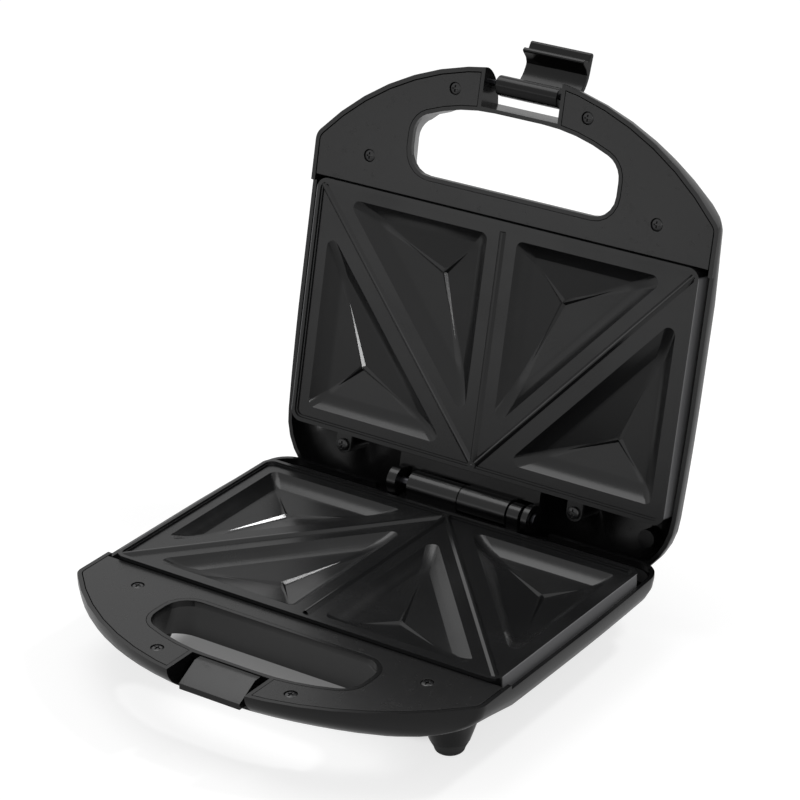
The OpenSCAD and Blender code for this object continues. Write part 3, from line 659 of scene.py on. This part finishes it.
@dataclass
class PocketCreases:
    """Cast creases, rib caps and hub of one plate, as one piece on top of the plain casting.

    A crease runs from the middle of each pocket's floor towards each of its corners.
    Sizes are in millimetres of the half frame, the slope in degrees.

    Attributes:
        side: the body that the plate belongs to, base or lid.
        half_plate: half the plate's width and depth.
        hub_inset: how far the ribs' common point lies inside the rear edge.
        corner_inset: how far a slanted rib's end lies inside the front corner.
        middle_inset: how far the middle rib's end lies inside the front edge.
        outer_margins: distance of the outer pocket's sides from slanted rib, side and rear edge.
        inner_margins: the same of the inner pocket's from slanted rib, middle and front edge.
        depth: from the rim to a pocket's middle.
        floor_rise: how much a pocket's floor climbs over floor_share of the way to a corner.
        height: how far a crease stands over the floor at the pocket's middle.
        end_height: the same at its outer end.
        slope: of a crease's flanks.
        hub_width: half the crease's width at the pocket's middle.
        end_width: half its width at its outer end.
        overlap: how far creases run past the middle into each other.
        reach: length of a crease as a share of the way to the corner.
        rib_section: a rib cap's outline, each point across and up.
        hub_radius: radius and half height of the dome where the ribs meet.
        hub_at: how far inside the rear edge the dome's middle lies, and its level.
    """

    side: str
    half_plate: tuple[float, float] = (110.0, 63.5)
    hub_inset: float = 2.5
    corner_inset: tuple[float, float] = (3.0, 3.5)
    middle_inset: float = 5.5
    outer_margins: tuple[float, float, float] = (9.8, 9.0, 8.5)
    inner_margins: tuple[float, float, float] = (8.0, 8.5, 8.0)
    depth: float = 9.4
    floor_rise: float = 2.4
    floor_share: float = 0.66
    height: float = 1.35
    end_height: float = 0.03
    slope: float = 38.0
    hub_width: float = 2.2
    end_width: float = 0.5
    overlap: float = 0.4
    reach: float = 0.52
    rib_section: tuple = ((1.9, -1.68), (0.62, -0.3), (0.0, -0.22), (-0.62, -0.3), (-1.9, -1.68))
    hub_radius: tuple[float, float] = (2.5, 1.6)
    hub_at: tuple[float, float] = (3.0, -1.65)

    def rib_ends(self) -> tuple[Vector, Vector]:
        """The ribs' common point at the rear and the right slanted rib's front end, in plan."""
        hw, hd = self.half_plate
        across, back = self.corner_inset
        return Vector((0.0, hd - self.hub_inset)), Vector((hw - across, -hd + back))

    def corners(self) -> list[list[Vector]]:
        """Sharp corners of the two pockets on the plate's right.

        Returns:
            Three plan points for each pocket.
        """
        hw, hd = self.half_plate
        rear, front = self.rib_ends()
        rib, side, edge = self.outer_margins
        outer = (
            PlanLine(rear, front - rear, rib),
            PlanLine(Vector((hw - side, 0.0)), Vector((0.0, 1.0))),
            PlanLine(Vector((0.0, hd - edge)), Vector((-1.0, 0.0))),
        )
        rib, middle, edge = self.inner_margins
        inner = (
            PlanLine(rear, rear - front, rib),
            PlanLine(Vector((middle, 0.0)), Vector((0.0, -1.0))),
            PlanLine(Vector((0.0, -hd + edge)), Vector((1.0, 0.0))),
        )
        return [[t[i].crossing(t[i - 1]) for i in range(3)] for t in (outer, inner)]

    def middle(self, v: list[Vector]) -> Vector:
        """The incentre of a triangle."""
        a, b, c = ((v[(i + 1) % 3] - v[(i + 2) % 3]).length for i in range(3))
        return (a * v[0] + b * v[1] + c * v[2]) / (a + b + c)

    def floor(self, share: float) -> float:
        """Height of a pocket's floor at a share of the way out from its middle."""
        return -self.depth + self.floor_rise * share / self.floor_share

    def arm(self, mesh: bmesh.types.BMesh, half: HalfFrame, mid: Vector, corner: Vector) -> None:
        """Add one crease as a closed wedge.

        Args:
            mesh: the mesh under way.
            half: where the half's points lie.
            mid: the pocket's middle in plan.
            corner: the corner it runs to.
        """
        way = (corner - mid).normalized()
        left = Vector((-way.y, way.x))
        fall = math.tan(math.radians(self.slope))
        inner_top = self.floor(0.0) + self.height
        outer_top = self.floor(self.reach) + self.end_height
        ends = (
            (mid - self.overlap * way, inner_top, self.hub_width),
            (mid + self.reach * (corner - mid), outer_top, self.end_width),
        )
        rings = []
        for at, top, wide in ends:
            foot = top - fall * wide
            section = ((0.0, top), (wide, foot), (-wide, foot))
            rings.append([half.at(*(at + left * w), z) for w, z in section])
        loft(mesh, *rings)

    def rib(self, mesh: bmesh.types.BMesh, half: HalfFrame, start: Vector, end: Vector) -> None:
        """Add the flat-topped cap of one dividing rib.

        Args:
            mesh: the mesh under way.
            half: where the half's points lie.
            start: one end of the rib in plan.
            end: its other end.
        """
        way = (end - start).normalized()
        left = Vector((-way.y, way.x))
        rings = [[half.at(*(at + left * w), z) for w, z in self.rib_section] for at in (start, end)]
        loft(mesh, *rings)

    def hub(self, mesh: bmesh.types.BMesh, half: HalfFrame) -> None:
        """Add the low dome where the ribs meet.

        Args:
            mesh: the mesh under way.
            half: where the half's points lie.
        """
        radius, rise = self.hub_radius
        inset, level = self.hub_at
        made = bmesh.ops.create_uvsphere(mesh, u_segments=24, v_segments=12, radius=1.0)
        for vert in made["verts"]:
            x, y, z = vert.co
            vert.co = half.at(radius * x, self.half_plate[1] - inset + radius * y, level + rise * z)

    def build(self) -> None:
        """Cast the creases, rib caps and hub."""
        half = HalfFrame(self.side == "lid")
        made = bmesh.new()
        rear, right = self.rib_ends()
        middle = Vector((0.0, self.middle_inset - self.half_plate[1]))
        for end in (middle, right, Vector((-right.x, right.y))):
            self.rib(made, half, rear, end)
        self.hub(made, half)
        for v in self.corners():
            for sign in (-1.0, 1.0):
                turned = [Vector((sign * p.x, p.y)) for p in v]
                for corner in turned:
                    self.arm(made, half, self.middle(turned), corner)
        bmesh.ops.recalc_face_normals(made, faces=made.faces)
        mesh = bpy.data.meshes.new(f"{self.side}_pocket_creases")
        made.to_mesh(mesh)
        made.free()
        mesh.materials.append(material_of(Finish.CREASE))
        for face in mesh.polygons:
            face.use_smooth = len(face.vertices) == 4 and face.area < SMOOTH_AREA
        obj = bpy.data.objects.new(mesh.name, mesh)
        bpy.context.scene.collection.objects.link(obj)
        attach(obj, self.side)
        LOG.info("cast %s: %d faces", obj.name, len(mesh.polygons))


@dataclass
class ElectricParts:
    """Thermostat, fuse, terminal block, grommet, lamps and their lenses."""

    block_edge: float = 0.3
    case_edge: float = 0.2
    lens_edge: float = 0.15
    fuse_edge: float = 0.1

    def build(self, nodes: dict) -> None:
        """Dress the electrical pieces.

        Args:
            nodes: the frame's nodes.
        """
        for part, finish, edge in (
            ("thermostat", Finish.PHENOLIC, self.case_edge),
            ("thermal_fuse", Finish.CERAMIC, self.fuse_edge),
            ("terminal_block", Finish.CERAMIC, self.block_edge),
            ("cord_inlet_grommet", Finish.RUBBER, self.block_edge),
            ("lamp_holder", Finish.CERAMIC, self.case_edge),
            ("neon_lamps", Finish.NEON, self.block_edge),
            ("power_lamp_lens", Finish.RED, self.lens_edge),
            ("ready_lamp_lens", Finish.GREEN, self.lens_edge),
        ):
            dress(nodes, part, finish, SoftEdges(edge))


@dataclass
class HingeAndLatch:
    """Rear cover, pins, feet and the latch clip."""

    cover_edge: float = 0.4
    hinge_pin_edge: float = 0.2
    latch_pin_edge: float = 0.1
    foot_edge: float = 0.5
    clip_edge: float = 0.5
    clip_segments: int = 3

    def build(self, nodes: dict) -> None:
        """Dress the small mechanical pieces.

        Args:
            nodes: the frame's nodes.
        """
        dress(nodes, "base_rear_cover", Finish.COVER, SoftEdges(self.cover_edge))
        dress(nodes, "hinge_pin", Finish.DARK_PIN, SoftEdges(self.hinge_pin_edge))
        dress(nodes, "latch_pin", Finish.DARK_PIN, SoftEdges(self.latch_pin_edge))
        dress(nodes, "rubber_feet", Finish.RUBBER, SoftEdges(self.foot_edge))
        dress(nodes, "latch_clip", Finish.CLIP, SoftEdges(self.clip_edge, self.clip_segments))


# ---- Studio ----


@dataclass(frozen=True)
class SoftBox:
    """A rectangular studio lamp.

    Attributes:
        name: the lamp's name.
        at: its place in metres.
        aim: the point it faces.
        size: its width and height.
        watts: its power.
    """

    name: str
    at: tuple[float, float, float]
    aim: tuple[float, float, float]
    size: tuple[float, float]
    watts: float

    def hang(self) -> None:
        """Put the lamp into the scene."""
        data = bpy.data.lights.new(self.name, "AREA")
        data.shape = "RECTANGLE"
        data.size, data.size_y = self.size
        data.energy = self.watts
        obj = bpy.data.objects.new(self.name, data)
        turn = (Vector(self.aim) - Vector(self.at)).to_track_quat("-Z", "Y").to_matrix().to_4x4()
        obj.matrix_world = Matrix.Translation(self.at) @ turn
        bpy.context.scene.collection.objects.link(obj)


@dataclass
class Studio:
    """Camera, floor, world and lamps.

    Attributes:
        azimuth: the camera's turn from the toaster's front, in degrees.
        elevation: its height over the horizon, in degrees.
        roll: its turn about its own axis, in degrees.
        focal_px: its focal length in pixels.
        frame_px: its picture's width in pixels.
        distance: from the camera to the point it frames, in metres.
        offset: how far that point lies right of and above the base plate's middle.
        plate_middle: the middle of the base plate's rim plane.
        floor_half: half the floor's width.
        glow: how brightly the floor shines for the camera.
        mirrored: the share of the glow that reflections see.
        painted_shade_strength: how much of the glow is taken away in the painted shade under the
            toaster.
        painted_shade_edges: left, right, front and rear edge of that painted shade.
        fade: width of the soft margin inside each of those edges.
        sky: the world's strength for diffuse light.
        bright_sky: how much stronger it is in reflections and behind the toaster.
        backdrop: how much stronger again it is for the camera, to be white.
        lamps: the soft boxes.
    """

    azimuth: float = 34.269
    elevation: float = 25.009
    roll: float = -0.121
    focal_px: float = 3315.65
    frame_px: float = 800.0
    distance: float = 1.58724
    offset: tuple[float, float] = (0.011422, 0.077531)
    plate_middle: tuple[float, float, float] = (0.0, -0.013671, 0.0425)
    floor_half: float = 6.0
    glow: float = 0.74
    mirrored: float = 0.35
    painted_shade_strength: float = 0.60
    painted_shade_edges: tuple[float, float, float, float] = (-0.100, 0.080, -0.084, 0.080)
    fade: tuple[float, float, float, float] = (0.025, 0.025, 0.012, 0.060)
    sky: float = 0.55
    bright_sky: float = 0.45
    backdrop: float = 0.25
    lamps: tuple[SoftBox, ...] = (
        SoftBox("key_box", (0.56, 0.62, 1.35), (0.0, 0.0, 0.05), (0.18, 0.18), 6.0),
        SoftBox("top_box", (-0.5, 0.1, 1.5), (0.0, 0.05, 0.1), (0.9, 0.9), 7.0),
        SoftBox("left_box", (-0.82, -1.37, 0.1), (0.0, 0.05, 0.15), (0.6, 0.5), 0.75),
        SoftBox("right_box", (1.2, -1.3, 0.72), (0.0, 0.0, 0.12), (0.24, 0.24), 2.9),
    )

    def axes(self) -> tuple[Vector, Vector, Vector]:
        """The camera's right, up and back directions.

        Returns:
            The three unit vectors.
        """
        a, e, r = (math.radians(v) for v in (self.azimuth, self.elevation, self.roll))
        back = Vector((math.sin(a) * math.cos(e), -math.cos(a) * math.cos(e), math.sin(e)))
        right = Vector((math.cos(a), math.sin(a), 0.0))
        up = back.cross(right)
        return (
            math.cos(r) * right + math.sin(r) * up,
            -math.sin(r) * right + math.cos(r) * up,
            back,
        )

    def camera(self) -> None:
        """Create the camera at the photograph's angle."""
        right, up, back = self.axes()
        data = bpy.data.cameras.new("camera")
        data.sensor_width = SENSOR_MM
        data.lens = SENSOR_MM * self.focal_px / self.frame_px
        data.clip_end = 5.0 * self.floor_half
        obj = bpy.data.objects.new("camera", data)
        at = Vector(self.plate_middle) + back * self.distance
        at += right * self.offset[0] + up * self.offset[1]
        turn = Matrix((right, up, back)).transposed().to_4x4()
        obj.matrix_world = Matrix.Translation(at) @ turn
        bpy.context.scene.collection.objects.link(obj)
        bpy.context.scene.camera = obj

    def painted_shade_under(self, g: Graph) -> Field:
        """The painted shade on the floor under the toaster, where the floor's glow is dimmed: 1 in its
        middle, 0 outside.
        """
        left, right, front, rear = self.painted_shade_edges
        from_left, from_right, from_front, from_rear = self.fade
        x, y = g.along("X"), g.along("Y")
        across = x.ramp(left, left + from_left) * (1.0 - x.ramp(right - from_right, right))
        along = y.ramp(front, front + from_front) * (1.0 - y.ramp(rear - from_rear, rear))
        return across * along

    def floor(self) -> None:
        """Lay the pale floor, which shines white for the camera but keeps the shadow, with a painted
        shade under the toaster.
        """
        mesh = bpy.data.meshes.new("floor")
        half = self.floor_half
        ring = ((-half, -half), (half, -half), (half, half), (-half, half))
        mesh.from_pydata([(x, y, 0.0) for x, y in ring], [], [(0, 1, 2, 3)])
        obj = bpy.data.objects.new("floor", mesh)
        bpy.context.scene.collection.objects.link(obj)
        g = Graph.of_material("floor_paper")
        tone = g.mix(g.noise(3.0), (0.37, 0.37, 0.37), (0.39, 0.39, 0.39))
        paper = g.node("ShaderNodeBsdfDiffuse", {}, {"Color": tone}, "BSDF")
        seen = g.ray("Camera") + self.mirrored * g.ray("Glossy")
        # Painted shade: the glow is dimmed in a fixed patch under the toaster, so the floor there looks
        # shadowed.
        level = seen * (self.glow - self.painted_shade_strength * self.painted_shade_under(g))
        white = {"Color": (1.0, 1.0, 1.0, 1.0), "Strength": level}
        glow = g.node("ShaderNodeEmission", {}, white, "Emission")
        g.end(g.node("ShaderNodeAddShader", {}, {0: paper, 1: glow}))
        mesh.materials.append(g.owner)

    def world(self) -> None:
        """Surround the scene with even light and a white background."""
        world = bpy.data.worlds.new("studio")
        bpy.context.scene.world = world
        g = Graph(world)
        seen = g.ray("Camera")
        direct = seen.most(g.ray("Glossy")).most(g.ray("Transmission"))
        strength = self.sky + self.bright_sky * direct + self.backdrop * seen
        pale = {"Color": (0.8, 0.8, 0.8, 1.0), "Strength": strength}
        g.end(g.node("ShaderNodeBackground", {}, pale, "Background"), "ShaderNodeOutputWorld")

    def build(self) -> None:
        """Set up the whole studio."""
        self.camera()
        self.floor()
        self.world()
        for lamp in self.lamps:
            lamp.hang()
        bpy.context.scene.view_settings.view_transform = "Standard"


def main() -> None:
    """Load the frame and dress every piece."""
    logging.basicConfig(level=logging.INFO, format="%(message)s")
    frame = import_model()
    nodes = frame["nodes"]
    for side in ("base", "lid"):
        Shell(side).build(nodes)
        HotSide(side).build(nodes)
        PocketCreases(side).build()
    ElectricParts().build(nodes)
    HingeAndLatch().build(nodes)
    Studio().build()


if __name__ == "__main__":
    main()
